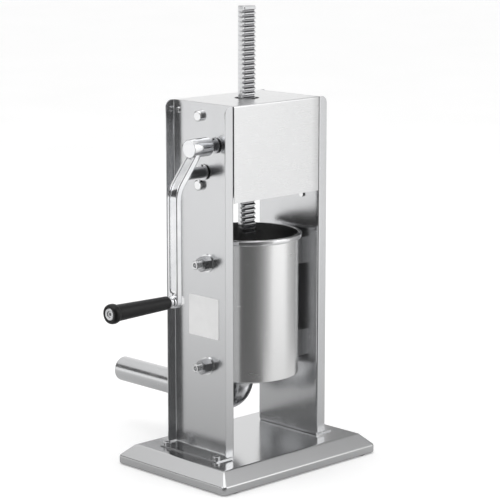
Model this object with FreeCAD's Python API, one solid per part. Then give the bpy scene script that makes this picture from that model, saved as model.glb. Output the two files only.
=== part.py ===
import FreeCAD, Part
import math
import os

V = FreeCAD.Vector

# Sausage stuffer, built in millimetres around the axis of its meat canister.
# X runs along the crank shaft (the crank is on +X), the outlet points to -Y, Z is up.

# --- driving dimensions -------------------------------------------------
sheet = 1.5                 # stainless sheet of the frame
base_half_x = 145.0         # base pan, outer half sizes at the skirt
base_half_y = 106.0
base_shift_y = 1.5          # the pan sits slightly back from the canister axis
base_top_half_x = 129.0     # flat top of the pan inside the mitred bevel
base_top_half_y = 88.0
skirt_bottom = 1.5
skirt_top = 12.5
base_top = 28.0
foot_x = 122.0              # bumper feet in the pan's return flanges
foot_y = 92.0
plate_x = 80.9              # outer face of each side plate
plate_half_y = 57.6
plate_top = 500.0
flange_reach = 13.65        # how far the side flanges stand out
foot_flange_x = 110.0
foot_bolt_x = 104.0
foot_bolt_y = 49.0
far_foot_bolt_y = 40.0      # the far foot's bolts stand closer together
cover_bottom = 372.4
canister_r = 70.0
canister_wall = 1.2
canister_low = 123.5
canister_high = 318.5
rim_r = 74.8
pin_y = 7.8                 # canister pins
pin_z = (147.0, 287.0)
pin_r = 6.0
pin_end_x = 103.5
block_y = (-10.6, 26.2)
block_z = (137.0, 173.3, 267.3, 303.6)
gear_module = 2.0
rack_teeth_z = 19           # teeth of the rack pinion
large_teeth = 28
small_teeth = 15
shaft_y = 24.0              # pinion shaft, also carries the crank
shaft_z = 446.0
shaft_r = 7.5
running_gap = 0.05          # radial clearance of every running fit
gear_bolt_y = -4.65
gear_bolt_z = (390.7, 482.4)
bar = 5.0                   # thickness of the gear frame
bar_y = (-27.0, 38.0)
bearing_x = 26.0            # inner face of each inner bearing plate
gear_x = (40.0, 52.0)       # width of the two-speed gears
rack_r = 12.0
rack_top = 622.5
rack_crest_y = 7.0
piston_low = 238.0
piston_thick = 16.0
outlet_y = -13.4            # vertical leg of the outlet elbow
outlet_z = 80.5             # axis of the stuffing tube
elbow_bend_r = 36.7
elbow_r = 19.0
elbow_end_y = -84.0
tube_r = 17.8
tube_wall = 1.2
tube_collar_r = 18.5        # thicker stretch of the tube inside the outlet nut
tube_end_y = -259.0
hub_x = (90.5, 127.5)
arm_x = (148.5, 158.0)
arm_half_y = 9.0
grip_z = 249.0
grip_x = (166.0, 266.0)

# --- derived dimensions -------------------------------------------------
pitch = math.pi * gear_module
pinion_pitch_r = gear_module * rack_teeth_z / 2
pair_distance = gear_module * (large_teeth + small_teeth) / 2
pair_angle = 240.0          # direction from the pinion shaft to the slow shaft
slow_y = shaft_y + pair_distance * math.cos(math.radians(pair_angle))
slow_z = shaft_z + pair_distance * math.sin(math.radians(pair_angle))
plate_in = plate_x - sheet
bore_r = canister_r - canister_wall
frame_shift_x = -(grip_x[1] - base_half_x) / 2
frame_shift_y = -(tube_end_y + base_half_y + base_shift_y) / 2


# --- small helpers ------------------------------------------------------
def box(x0, x1, y0, y1, z0, z1):
    return Part.makeBox(x1 - x0, y1 - y0, z1 - z0, V(x0, y0, z0))


def rod_x(r, x0, x1, y, z):
    return Part.makeCylinder(r, x1 - x0, V(x0, y, z), V(1, 0, 0))


def rod_y(r, y0, y1, x, z):
    return Part.makeCylinder(r, y1 - y0, V(x, y0, z), V(0, 1, 0))


def rod_z(r, z0, z1, x=0.0, y=0.0):
    return Part.makeCylinder(r, z1 - z0, V(x, y, z0), V(0, 0, 1))


def cone_x(r0, r1, x0, x1, y, z):
    return Part.makeCone(r0, r1, x1 - x0, V(x0, y, z), V(1, 0, 0))


def hexagon(across_flats, start, direction, length):
    """A hexagonal prism that grows from start along direction."""
    prism = Part.makePolygon([V(across_flats / math.sqrt(3) * math.cos(math.radians(60 * i)),
                                across_flats / math.sqrt(3) * math.sin(math.radians(60 * i)), 0)
                              for i in range(7)])
    solid = Part.Face(prism).extrude(V(0, 0, length))
    solid.Placement = FreeCAD.Placement(V(*start), FreeCAD.Rotation(V(0, 0, 1), V(*direction)))
    return solid


def along_x(solid, x, y, z, turn=0.0):
    """Lays a solid made along +Z along +X; its own X and Y become Y and Z."""
    lay = FreeCAD.Matrix()
    lay.A11, lay.A12, lay.A13 = 0, 0, 1
    lay.A21, lay.A22, lay.A23 = 1, 0, 0
    lay.A31, lay.A32, lay.A33 = 0, 1, 0
    solid = solid.copy()
    solid.rotate(V(0, 0, 0), V(0, 0, 1), turn)
    solid = solid.transformGeometry(lay)
    solid.translate(V(x, y, z))
    return solid


def mirror_x(solid):
    return solid.mirror(V(0, 0, 0), V(1, 0, 0))


def fuse(*solids):
    whole = solids[0]
    for other in solids[1:]:
        whole = whole.fuse(other)
    return whole.removeSplitter()


def cut(solid, *tools):
    for tool in tools:
        solid = solid.cut(tool)
    return solid


def fillet_edges(solid, radius, test):
    """Rounds every edge whose ends both satisfy test(point)."""
    picked = [e for e in solid.Edges if all(test(v.Point) for v in e.Vertexes)]
    return solid.makeFillet(radius, picked)


def spur_gear(teeth, width, tip, backlash=0.12):
    """Involute spur gear along +Z from z = 0, with the middle of one tooth on +X."""
    pitch_r = gear_module * teeth / 2
    base_r = pitch_r * math.cos(math.radians(20))
    root_r = pitch_r - 1.25 * gear_module
    tip_r = pitch_r + tip
    inv20 = math.tan(math.radians(20)) - math.radians(20)
    half = math.pi / (2 * teeth) - backlash / (2 * pitch_r)
    flank = []
    start = max(base_r, root_r)
    for i in range(7):
        r = start + (tip_r - start) * i / 6
        a = math.acos(min(1.0, base_r / r))
        flank.append((r, half + inv20 - (math.tan(a) - a)))
    if root_r < base_r:
        flank.insert(0, (root_r, flank[0][1]))
    edges = []
    step = 2 * math.pi / teeth

    def at(r, angle):
        return V(r * math.cos(angle), r * math.sin(angle), 0)

    for k in range(teeth):
        mid = k * step
        rise = [at(r, mid - a) for r, a in flank]
        fall = [at(r, mid + a) for r, a in reversed(flank)]
        if root_r < base_r:
            edges.append(Part.LineSegment(rise[0], rise[1]).toShape())
        curve = Part.BSplineCurve()
        curve.interpolate(rise[1:] if root_r < base_r else rise)
        edges.append(curve.toShape())
        edges.append(Part.Arc(rise[-1], at(tip_r, mid), fall[0]).toShape())
        curve = Part.BSplineCurve()
        curve.interpolate(fall[:-1] if root_r < base_r else fall)
        edges.append(curve.toShape())
        if root_r < base_r:
            edges.append(Part.LineSegment(fall[-2], fall[-1]).toShape())
        nxt = at(root_r, mid + step - flank[0][1])
        edges.append(Part.Arc(fall[-1], at(root_r, mid + step / 2), nxt).toShape())
    return Part.Face(Part.Wire(edges)).extrude(V(0, 0, width))


def polygon_yz(points, x0, x1):
    """A flat outline in the Y-Z plane, drawn out from x0 to x1."""
    wire = Part.makePolygon([V(x0, y, z) for y, z in points + points[:1]])
    return Part.Face(wire).extrude(V(x1 - x0, 0, 0))


def polygon_xz(points, y0, y1):
    """A flat outline in the X-Z plane, drawn out from y0 to y1."""
    wire = Part.makePolygon([V(x, y0, z) for x, z in points + points[:1]])
    return Part.Face(wire).extrude(V(0, y1 - y0, 0))


parts = {}


# --- base ---------------------------------------------------------------
def pan_block(inset):
    """Solid outline of the pan: a skirt below a mitred bevel that ends in the flat top."""
    def ring(hx, hy, z):
        hx, hy = hx - inset, hy - inset
        return Part.makePolygon([V(-hx, base_shift_y - hy, z), V(hx, base_shift_y - hy, z),
                                 V(hx, base_shift_y + hy, z), V(-hx, base_shift_y + hy, z),
                                 V(-hx, base_shift_y - hy, z)])
    low = box(-base_half_x + inset, base_half_x - inset, base_shift_y - base_half_y + inset,
              base_shift_y + base_half_y - inset, skirt_bottom, skirt_top)
    bevel = Part.makeLoft([ring(base_half_x, base_half_y, skirt_top),
                           ring(base_top_half_x, base_top_half_y, base_top - inset)], True, True)
    return low.fuse(bevel).removeSplitter()


pan = pan_block(0.0).cut(pan_block(sheet))
for side in (-1, 1):
    edge_y = base_shift_y + side * (base_half_y - sheet)
    inner_y = edge_y - side * 22
    pan = pan.fuse(box(-base_half_x + 2, base_half_x - 2, min(edge_y, inner_y),
                       max(edge_y, inner_y), skirt_bottom, skirt_bottom + sheet))
pan = pan.removeSplitter()
feet = []
for sx in (-1, 1):
    for sy in (-1, 1):
        x, y = sx * foot_x, base_shift_y + sy * foot_y
        pan = pan.cut(rod_z(4.2, skirt_bottom - 1, skirt_bottom + 3, x, y))
        feet.append(fuse(rod_z(11, 0, skirt_bottom, x, y), rod_z(4, 0, 4, x, y),
                         rod_z(6, skirt_bottom + sheet + 0.05, skirt_bottom + sheet + 4, x, y)))
foot_bolts, foot_nuts = [], []
for sx in (-1, 1):
    for sy in (-1, 1):
        x, y = sx * foot_bolt_x, sy * (foot_bolt_y if sx > 0 else far_foot_bolt_y)
        pan = pan.cut(rod_z(3.2, base_top - 3, base_top + 1, x, y))
        head = cut(rod_z(5.2, base_top + sheet, base_top + sheet + 5, x, y),
                   hexagon(5, (x, y, base_top + sheet + 2.2), (0, 0, 1), 4))
        head = fillet_edges(head, 0.8, lambda p, x=x, y=y:
                            p.z > base_top + sheet + 4.9 and math.hypot(p.x - x, p.y - y) > 5)
        foot_bolts.append(fuse(head, rod_z(3, base_top - 9, base_top + sheet, x, y)))
        foot_nuts.append(cut(hexagon(10, (x, y, base_top - sheet), (0, 0, -1), 5),
                             rod_z(3.02, base_top - 10, base_top, x, y)))
parts["base_pan"] = [pan]
parts["base_feet"] = feet
parts["foot_bolts"] = foot_bolts
parts["foot_nuts"] = foot_nuts


# --- side plates --------------------------------------------------------
def side_plate(bolt_y):
    """A channel: flat web, side flanges that stand outwards and a foot flange on the pan."""
    web = box(plate_in, plate_x, -plate_half_y, plate_half_y, base_top, plate_top)
    flanges = []
    for sy in (-1, 1):
        y0, y1 = sorted((sy * plate_half_y, sy * (plate_half_y - sheet)))
        flange = box(plate_in, plate_x + flange_reach, y0, y1, base_top + 3.5, plate_top)
        flange = fillet_edges(flange, 9.5, lambda p: p.x > plate_x + 5 and p.z > plate_top - 1)
        flanges.append(flange)
    foot = box(plate_in, foot_flange_x, -plate_half_y + 2, plate_half_y - 2, base_top, base_top + sheet)
    plate = fuse(web, foot, *flanges)
    for sy in (-1, 1):
        plate = plate.cut(rod_z(3.2, base_top - 1, base_top + 3, foot_bolt_x, sy * bolt_y))
    for z in gear_bolt_z:
        plate = plate.cut(rod_x(4.2, plate_in - 1, plate_x + 1, gear_bolt_y, z))
    for z in pin_z:
        plate = plate.cut(rod_x(pin_r + 0.2, plate_in - 1, plate_x + 1, pin_y, z))
    plate = plate.cut(rod_x(2.2, plate_in - 1, plate_x + 1, -48, 486.4))
    return plate


crank_plate = side_plate(foot_bolt_y)
far_plate = mirror_x(side_plate(far_foot_bolt_y))
bush_hole = 9.6
for y, z in ((shaft_y, shaft_z), (slow_y, slow_z)):
    crank_plate = crank_plate.cut(rod_x(bush_hole, plate_in - 1, plate_x + 1, y, z))
far_plate = far_plate.cut(rod_x(2.2, -plate_x - 1, -plate_in + 1, 26.8, 363.8))
parts["crank_side_plate"] = [crank_plate]
parts["far_side_plate"] = [far_plate]
parts["rating_plate"] = [box(plate_x, plate_x + 0.4, -28, 30, 185.5, 241)]

# --- cover over the gears ----------------------------------------------
cover_x = plate_in - 0.2
cover = cut(box(-cover_x, cover_x, -plate_half_y, plate_half_y, cover_bottom, plate_top),
            box(-cover_x - 1, cover_x + 1, -plate_half_y + 1, plate_half_y - 1,
                cover_bottom - 1, plate_top - 1),
            rod_z(16.6, plate_top - 3, plate_top + 3))
for sx in (-1, 1):
    x0, x1 = sorted((sx * cover_x, sx * (cover_x - 1)))
    tab = box(x0, x1, -plate_half_y + 1, -38, plate_top - 22, plate_top - 1)
    cover = cover.fuse(tab).cut(rod_x(2.2, x0 - 1, x1 + 1, -48, 486.4))
parts["gear_cover"] = [cover.removeSplitter()]
cover_screws, cover_nuts = [], []
for sx in (-1, 1):
    screw = fuse(rod_x(4, plate_x, plate_x + 2.2, -48, 486.4), rod_x(2, 70, plate_x, -48, 486.4))
    screw = cut(screw, box(plate_x + 1.2, plate_x + 3, -51, -45, 486, 486.8),
                box(plate_x + 1.2, plate_x + 3, -48.4, -47.6, 483.4, 489.4))
    nut = cut(hexagon(7, (cover_x - 1, -48, 486.4), (-1, 0, 0), 3.2), rod_x(2.02, 60, 90, -48, 486.4))
    cover_screws.append(screw if sx > 0 else mirror_x(screw))
    cover_nuts.append(nut if sx > 0 else mirror_x(nut))
guard_screw = fuse(rod_x(3.6, -plate_in, -plate_in + 2.4, 26.8, 363.8),
                   rod_x(2, -plate_x - 5, -plate_in, 26.8, 363.8))
guard_nut = cut(hexagon(7, (-plate_x, 26.8, 363.8), (-1, 0, 0), 3.2), rod_x(2.02, -95, -70, 26.8, 363.8))
cover_screws.append(guard_screw)
cover_nuts.append(guard_nut)
parts["cover_screws"] = cover_screws
parts["cover_nuts"] = cover_nuts

# --- gear frame ---------------------------------------------------------
frame_low, frame_high = 376.0, 496.0
cheek_out = plate_in
cheeks, webs = [], []
for sx in (-1, 1):
    x0, x1 = sorted((sx * cheek_out, sx * (cheek_out - bar)))
    cheek = box(x0, x1, bar_y[0], bar_y[1], frame_low, frame_high)
    for z in gear_bolt_z:
        cheek = cheek.cut(rod_x(4.2, x0 - 1, x1 + 1, gear_bolt_y, z))
    if sx > 0:
        for y, z in ((shaft_y, shaft_z), (slow_y, slow_z)):
            cheek = cheek.cut(rod_x(bush_hole, x0 - 1, x1 + 1, y, z))
    cheeks.append(cheek)
guide_r = 16.0
for z0 in (frame_low, frame_high - bar):
    web = box(-cheek_out + bar, cheek_out - bar, bar_y[0], bar_y[1], z0, z0 + bar)
    webs.append(web.cut(rod_z(guide_r, z0 - 1, z0 + bar + 1)))
parts["gear_frame_cheeks"] = cheeks
parts["gear_frame_webs"] = webs
bearings = []
for sx in (-1, 1):
    x0, x1 = sorted((sx * bearing_x, sx * (bearing_x + bar)))
    plate = box(x0, x1, bar_y[0], bar_y[1], frame_low + bar, frame_high - bar)
    plate = plate.cut(rod_x(bush_hole, x0 - 1, x1 + 1, shaft_y, shaft_z))
    if sx > 0:
        plate = plate.cut(rod_x(bush_hole, x0 - 1, x1 + 1, slow_y, slow_z))
    bearings.append(plate)
parts["bearing_plates"] = bearings
gear_bolts, gear_nuts = [], []
for sx in (-1, 1):
    for z in gear_bolt_z:
        head = rod_x(7.3, plate_x, plate_x + 5.8, gear_bolt_y, z)
        head = fillet_edges(head, 2.0, lambda p, z=z: p.x > plate_x + 5.7
                            and math.hypot(p.y - gear_bolt_y, p.z - z) > 7)
        bolt = fuse(head, rod_x(4, 64, plate_x, gear_bolt_y, z))
        nut = cut(hexagon(13, (cheek_out - bar, gear_bolt_y, z), (-1, 0, 0), 6.5),
                  rod_x(4.02, 60, 90, gear_bolt_y, z))
        gear_bolts.append(bolt if sx > 0 else mirror_x(bolt))
        gear_nuts.append(nut if sx > 0 else mirror_x(nut))
parts["gear_frame_bolts"] = gear_bolts
parts["gear_frame_nuts"] = gear_nuts

# bushes: black nylon sleeves in the plates
pinion_bushes, slow_bushes = [], []
for y, z, group in ((shaft_y, shaft_z, pinion_bushes), (slow_y, slow_z, slow_bushes)):
    group.append(cut(fuse(rod_x(bush_hole - 0.02, cheek_out - bar, plate_x + 1.4, y, z),
                          rod_x(12, cheek_out - bar - 2, cheek_out - bar, y, z)),
                     rod_x(shaft_r + running_gap, 60, 90, y, z)))
    group.append(cut(fuse(rod_x(bush_hole - 0.02, bearing_x, bearing_x + bar, y, z),
                          rod_x(12, bearing_x + bar, bearing_x + bar + 2, y, z)),
                     rod_x(shaft_r + running_gap, 20, 40, y, z)))
pinion_bushes.append(mirror_x(pinion_bushes[1]))
parts["pinion_bushes"] = pinion_bushes
parts["slow_shaft_bushes"] = slow_bushes

# guides: nylon sleeves whose bore has the rack's own flat, so the rack cannot turn
guides = []
for z0, flange0 in ((frame_low, frame_low - 2), (frame_high - bar, frame_high)):
    sleeve = fuse(rod_z(guide_r - 0.02, z0, z0 + bar), rod_z(19, flange0, flange0 + 2))
    bore = rod_z(rack_r + running_gap, z0 - 5, z0 + bar + 5).common(
        box(-20, 20, -20, rack_crest_y + running_gap, z0 - 6, z0 + bar + 6))
    guides.append(sleeve.cut(bore))
parts["rack_guides"] = guides

# --- canister, its blocks and pins --------------------------------------
shell = cut(rod_z(canister_r, canister_low, canister_high),
            rod_z(bore_r, canister_low + 1.5, canister_high + 1),
            rod_z(elbow_r - 1.5, canister_low - 1, canister_low + 3, 0, outlet_y))
parts["canister_shell"] = [shell]
rim = cut(rod_z(rim_r, canister_high - 7, canister_high),
          rod_z(canister_r, canister_high - 9, canister_high + 1))
rim = fillet_edges(rim, 2.4, lambda p: math.hypot(p.x, p.y) > rim_r - 1)
parts["canister_rim"] = [rim]
blocks, pins, washers, nuts = [], [], [], []
for sx in (-1, 1):
    for k in (0, 1):
        block = box(50, plate_in - 0.25, block_y[0], block_y[1], block_z[2 * k], block_z[2 * k + 1])
        block = block.cut(rod_z(canister_r, 100, 330)).cut(rod_x(pin_r, 71.4, 90, pin_y, pin_z[k]))
        pin = rod_x(pin_r, 71.4, pin_end_x, pin_y, pin_z[k])
        pin = cut(pin, rod_x(3, pin_end_x - 7, pin_end_x + 1, pin_y, pin_z[k]))
        pin = fillet_edges(pin, 0.8, lambda p, k=k: p.x > pin_end_x - 0.1
                           and math.hypot(p.y - pin_y, p.z - pin_z[k]) > 5.5)
        washer = cut(rod_x(12, plate_x, plate_x + 2, pin_y, pin_z[k]),
                     rod_x(pin_r + 0.1, 79, 90, pin_y, pin_z[k]))
        nut = cut(hexagon(18, (plate_x + 2, pin_y, pin_z[k]), (1, 0, 0), 10.5),
                  rod_x(pin_r + 0.02, 79, 100, pin_y, pin_z[k]))
        nut = nut.common(cone_x(21.8, 9.3, plate_x, plate_x + 12.5, pin_y, pin_z[k]))
        for group, item in ((blocks, block), (pins, pin), (washers, washer), (nuts, nut)):
            group.append(item if sx > 0 else mirror_x(item))
parts["support_blocks"] = blocks
parts["canister_pins"] = pins
parts["pin_washers"] = washers
parts["pin_nuts"] = nuts

# --- outlet -------------------------------------------------------------
bend_z = outlet_z + elbow_bend_r
bend_y = outlet_y - elbow_bend_r


def elbow_solid(r, top, end_y):
    """A round leg down, a quarter bend and a round leg towards -Y."""
    leg = rod_z(r, bend_z, top, 0, outlet_y)
    ring = Part.makeCircle(r, V(0, outlet_y, bend_z), V(0, 0, 1))
    bend = Part.Face(Part.Wire(ring)).revolve(V(0, bend_y, bend_z), V(1, 0, 0), -90)
    return fuse(leg, bend, rod_y(r, end_y, bend_y, 0, outlet_z))


elbow = elbow_solid(elbow_r, canister_low, elbow_end_y).cut(
    elbow_solid(elbow_r - 1.5, canister_low + 1, elbow_end_y - 1))
parts["outlet_elbow"] = [elbow]
collar = cut(rod_y(23, -100, -80, 0, outlet_z), rod_y(elbow_r, elbow_end_y, -79, 0, outlet_z),
             rod_y(elbow_r - 1.5, -101, -79, 0, outlet_z))
parts["outlet_collar"] = [collar]
gasket = cut(rod_y(22.5, -102, -100, 0, outlet_z), rod_y(17, -103, -99, 0, outlet_z))
parts["tube_gasket"] = [gasket]
nut = cut(rod_y(28, -112, -86, 0, outlet_z), rod_y(23.05, -105.05, -85, 0, outlet_z),
          rod_y(tube_collar_r + 0.05, -113, -100, 0, outlet_z))
for i in range(8):
    a = math.radians(45 * i + 22.5)
    nut = nut.cut(rod_y(5, -113, -85, 31 * math.cos(a), outlet_z + 31 * math.sin(a)))
parts["outlet_nut"] = [nut]
tube = cut(fuse(rod_y(22.5, -105, -102, 0, outlet_z), rod_y(tube_collar_r, -113.5, -104, 0, outlet_z),
                rod_y(tube_r, tube_end_y, -104, 0, outlet_z)),
           rod_y(tube_r - tube_wall, tube_end_y - 1, -101, 0, outlet_z))
parts["stuffing_tube"] = [tube]

# --- rack and piston ----------------------------------------------------
recess = 11.0               # the nut sits in a recess below the piston
stud_low = piston_low + 0.5
rack = rod_z(rack_r, piston_low + piston_thick, rack_top).common(
    box(-20, 20, -20, rack_crest_y, 200, 700))
crest_half = pitch / 4 + 0.06 + 2 * math.tan(math.radians(20))
root_half = pitch / 4 + 0.06 - 2.5 * math.tan(math.radians(20))
for k in range(-20, 28):
    z = shaft_z + k * pitch
    rack = rack.cut(polygon_yz([(rack_crest_y - 4.5, z - root_half), (rack_crest_y + 0.01, z - crest_half),
                                (rack_crest_y + 0.01, z + crest_half), (rack_crest_y - 4.5, z + root_half)],
                               -13, 13))
rack = rack.fuse(rod_z(6, stud_low, piston_low + piston_thick + 1)).removeSplitter()
parts["rack"] = [rack]
valve_x, valve_y = -38.0, -18.0
plate_r = bore_r - 3.0
piston = cut(rod_z(plate_r, piston_low, piston_low + piston_thick), rod_z(6.05, piston_low - 1, 270),
             rod_z(14, piston_low - 1, piston_low + recess),
             rod_z(7, piston_low - 1, 270, valve_x, valve_y),
             rod_z(80, piston_low + 4, piston_low + 12).cut(rod_z(plate_r - 4, 200, 300)))
parts["piston_plate"] = [piston]
seal = cut(rod_z(bore_r - running_gap, piston_low + 4.1, piston_low + 11.9),
           rod_z(plate_r - 3.9, 200, 300))
seal = fillet_edges(seal, 1.5, lambda p: math.hypot(p.x, p.y) > bore_r - 1)
parts["piston_seal"] = [seal]
parts["piston_washer"] = [cut(rod_z(13, piston_low + recess - 2, piston_low + recess),
                              rod_z(6.05, 200, 270))]
parts["piston_nut"] = [cut(hexagon(19, (0, 0, piston_low + recess - 12), (0, 0, 1), 10),
                           rod_z(6.02, 200, 270))]
body = cut(fuse(rod_z(6.9, piston_low, piston_low + piston_thick + 6, valve_x, valve_y),
                rod_z(9, piston_low + piston_thick, piston_low + piston_thick + 2, valve_x, valve_y)),
           rod_z(3.05, 200, 300, valve_x, valve_y),
           rod_z(5.5, piston_low + 6, 300, valve_x, valve_y))
parts["air_valve_body"] = [body]
stem = fuse(rod_z(3, piston_low - 1, piston_low + 30, valve_x, valve_y),
            rod_z(4.6, piston_low - 2.3, piston_low - 0.3, valve_x, valve_y),
            rod_z(5.0, piston_low + 27, piston_low + 31, valve_x, valve_y))
parts["air_valve_stem"] = [stem]
spring_low, spring_high = piston_low + 6.2, piston_low + 26.8
path = Part.makeHelix((spring_high - spring_low - 0.8) / 6, spring_high - spring_low - 0.8, 4.0)
path.translate(V(valve_x, valve_y, spring_low + 0.4))
wire_ring = Part.Wire(Part.makeCircle(0.35, V(valve_x + 4.0, valve_y, spring_low + 0.4), V(0, 1, 0.1)))
spring = Part.Wire(path.Edges).makePipeShell([wire_ring], True, True)
parts["air_valve_spring"] = [spring]

# --- pinion shaft -------------------------------------------------------
flat_x = 93.0               # the drive flat for the crank starts here
shaft = cut(rod_x(shaft_r, -38, 125.5, shaft_y, shaft_z),
            box(flat_x, 130, shaft_y - 10, shaft_y - 5.5, shaft_z - 10, shaft_z + 10))
parts["pinion_shaft"] = [shaft]
rack_pinion = along_x(spur_gear(rack_teeth_z, 22, gear_module), -11, shaft_y, shaft_z, 180)
rack_pinion = cut(fuse(rack_pinion, rod_x(12, -25.7, 25.7, shaft_y, shaft_z)),
                  rod_x(shaft_r, -40, 40, shaft_y, shaft_z))
parts["rack_pinion"] = [rack_pinion]
large = along_x(spur_gear(large_teeth, gear_x[1] - gear_x[0], gear_module), gear_x[0], shaft_y, shaft_z,
                pair_angle)
large = cut(fuse(large, rod_x(13, gear_x[0] - 6.5, gear_x[1] + 8, shaft_y, shaft_z)),
            rod_x(shaft_r, 20, 80, shaft_y, shaft_z))
parts["large_gear"] = [large]
small = along_x(spur_gear(small_teeth, gear_x[1] - gear_x[0], gear_module), gear_x[0], slow_y, slow_z,
                pair_angle - 180 + 180.0 / small_teeth)
small = cut(fuse(small, rod_x(11, gear_x[0] - 6.5, gear_x[1] + 8, slow_y, slow_z)),
            rod_x(shaft_r, 20, 80, slow_y, slow_z))
parts["small_gear"] = [small]
slow = cut(rod_x(shaft_r, 23, 111, slow_y, slow_z),
           box(flat_x, 130, slow_y - 10, slow_y - 5.5, slow_z - 10, slow_z + 10))
parts["slow_shaft"] = [slow]


def ring_clip(x0, y, z):
    return cut(rod_x(10.5, x0, x0 + 1.2, y, z), rod_x(shaft_r, x0 - 1, x0 + 3, y, z),
               box(x0 - 1, x0 + 3, y - 1.6, y + 1.6, z, z + 15))


parts["pinion_clips"] = [ring_clip(-34.5, shaft_y, shaft_z), ring_clip(83.0, shaft_y, shaft_z)]
parts["slow_shaft_clips"] = [ring_clip(24.6, slow_y, slow_z), ring_clip(83.0, slow_y, slow_z)]

# --- crank --------------------------------------------------------------
mid_y = shaft_y
hub = cone_x(12.4, 12.0, hub_x[0], hub_x[1], mid_y, shaft_z)
hub = fillet_edges(hub, 1.0, lambda p: p.x > hub_x[1] - 0.5)
slant_low = 392.0


def arm_outline(depth):
    """Outer line of the arm from the hub down to the grip, and the same line moved in by depth."""
    outer = [(119.3, 441.5), (arm_x[1], slant_low), (arm_x[1], grip_z)]
    inner = [(arm_x[1] - depth, grip_z), (arm_x[1] - depth, slant_low - depth * 0.35),
             (119.3 - depth * 1.27, 441.5)]
    return outer + inner


arm = polygon_xz(arm_outline(arm_x[1] - arm_x[0]), mid_y - arm_half_y, mid_y + arm_half_y)
arm = fuse(arm, rod_x(arm_half_y, arm_x[0], arm_x[1], mid_y, grip_z))
channel_low = grip_z + 15
channel = polygon_xz(arm_outline(2.0), mid_y - 5, mid_y + 5).cut(
    box(100, 200, 0, 60, 200, channel_low))
channel = channel.fuse(rod_x(5, arm_x[1] - 2, arm_x[1] + 1, mid_y, channel_low))
arm = arm.cut(channel)
arm = fuse(arm, hub)
socket = rod_x(shaft_r + running_gap, hub_x[0] - 1, 125.6, mid_y, shaft_z).cut(
    box(flat_x + 0.3, 130, mid_y - 10, mid_y - 5.5 - running_gap, shaft_z - 10, shaft_z + 10))
screw_x, screw_hole = 112.0, 3.05
arm = cut(arm, socket, rod_y(screw_hole, mid_y - 20, mid_y - 5, screw_x, shaft_z),
          rod_x(4.0, arm_x[0] - 1, arm_x[1] + 1, mid_y, grip_z))
parts["crank_arm"] = [arm]
screw = fuse(rod_y(3, mid_y - 19, mid_y - 5.6, screw_x, shaft_z),
             rod_y(5.5, mid_y - 24, mid_y - 18, screw_x, shaft_z))
for i in range(12):
    a = math.radians(30 * i)
    screw = screw.cut(rod_y(0.7, mid_y - 25, mid_y - 17,
                            screw_x + 5.6 * math.cos(a), shaft_z + 5.6 * math.sin(a)))
parts["thumb_screw"] = [screw]
ferrule = cut(fuse(rod_x(8, arm_x[1], arm_x[1] + 5, mid_y, grip_z),
                   rod_x(6.5, arm_x[1], grip_x[0] - 0.3, mid_y, grip_z)),
              rod_x(4.0, 150, 190, mid_y, grip_z))
parts["grip_ferrule"] = [ferrule]
head_x = grip_x[1] - 4.0
spindle = fuse(rod_x(4.0, arm_x[0] - 7, head_x + 1, mid_y, grip_z),
               rod_x(8.2, head_x + 0.1, grip_x[1], mid_y, grip_z))
spindle = cut(spindle, hexagon(6, (grip_x[1] - 2.5, mid_y, grip_z), (1, 0, 0), 5))
parts["grip_spindle"] = [spindle]
parts["spindle_nut"] = [cut(hexagon(13, (arm_x[0], mid_y, grip_z), (-1, 0, 0), 5.5),
                            rod_x(4.02, 140, 160, mid_y, grip_z))]
grip_profile = [(grip_x[0], 4.06), (grip_x[0], 8.0), (grip_x[0] + 2, 8.8), (grip_x[0] + 40, 9.6),
                (grip_x[0] + 88, 10.8), (grip_x[0] + 92, 12.4), (grip_x[0] + 95, 13.1),
                (grip_x[1] - 1.5, 12.8), (grip_x[1], 11.5), (grip_x[1], 8.3), (head_x, 8.3), (head_x, 4.06)]
outline = Part.makePolygon([V(x, mid_y + r, grip_z) for x, r in grip_profile + grip_profile[:1]])
grip = Part.Face(outline).revolve(V(0, mid_y, grip_z), V(1, 0, 0), 360)
parts["grip"] = [grip]

# --- export -------------------------------------------------------------
os.makedirs("parts", exist_ok=True)
for name, solids in parts.items():
    shape = solids[0] if len(solids) == 1 else Part.makeCompound(solids)
    shape = shape.copy()
    shape.translate(V(frame_shift_x, frame_shift_y, 0))
    for solid in shape.Solids:
        if not solid.isValid() or solid.Volume <= 0:
            print("bad solid in", name, solid.Volume)
    print(name, len(shape.Solids), round(shape.Volume, 1))
    shape.exportStep("parts/" + name + ".step")
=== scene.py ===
import math

import bmesh
import bpy
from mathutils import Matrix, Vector


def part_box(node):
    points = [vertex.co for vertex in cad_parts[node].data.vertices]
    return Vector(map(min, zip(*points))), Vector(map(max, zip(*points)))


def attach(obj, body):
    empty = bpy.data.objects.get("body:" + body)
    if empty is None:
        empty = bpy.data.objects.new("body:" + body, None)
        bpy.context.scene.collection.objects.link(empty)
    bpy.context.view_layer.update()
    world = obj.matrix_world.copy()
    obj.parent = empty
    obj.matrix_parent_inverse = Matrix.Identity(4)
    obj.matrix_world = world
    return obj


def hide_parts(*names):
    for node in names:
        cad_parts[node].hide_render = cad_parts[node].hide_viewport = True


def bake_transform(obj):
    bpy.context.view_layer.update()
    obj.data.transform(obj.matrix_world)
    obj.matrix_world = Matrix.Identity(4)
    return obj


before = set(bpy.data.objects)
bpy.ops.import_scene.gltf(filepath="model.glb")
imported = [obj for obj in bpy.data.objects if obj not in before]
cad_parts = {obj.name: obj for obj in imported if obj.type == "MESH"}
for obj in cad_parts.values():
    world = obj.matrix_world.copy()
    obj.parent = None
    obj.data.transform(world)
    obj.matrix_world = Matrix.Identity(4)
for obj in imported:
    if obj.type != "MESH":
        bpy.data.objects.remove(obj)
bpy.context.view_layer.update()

# The model is described here around the canister's axis, in millimetres, as the
# CAD model is; the row frame's origin lies elsewhere, so both shifts come from the frame.
low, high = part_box("canister_shell")
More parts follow.
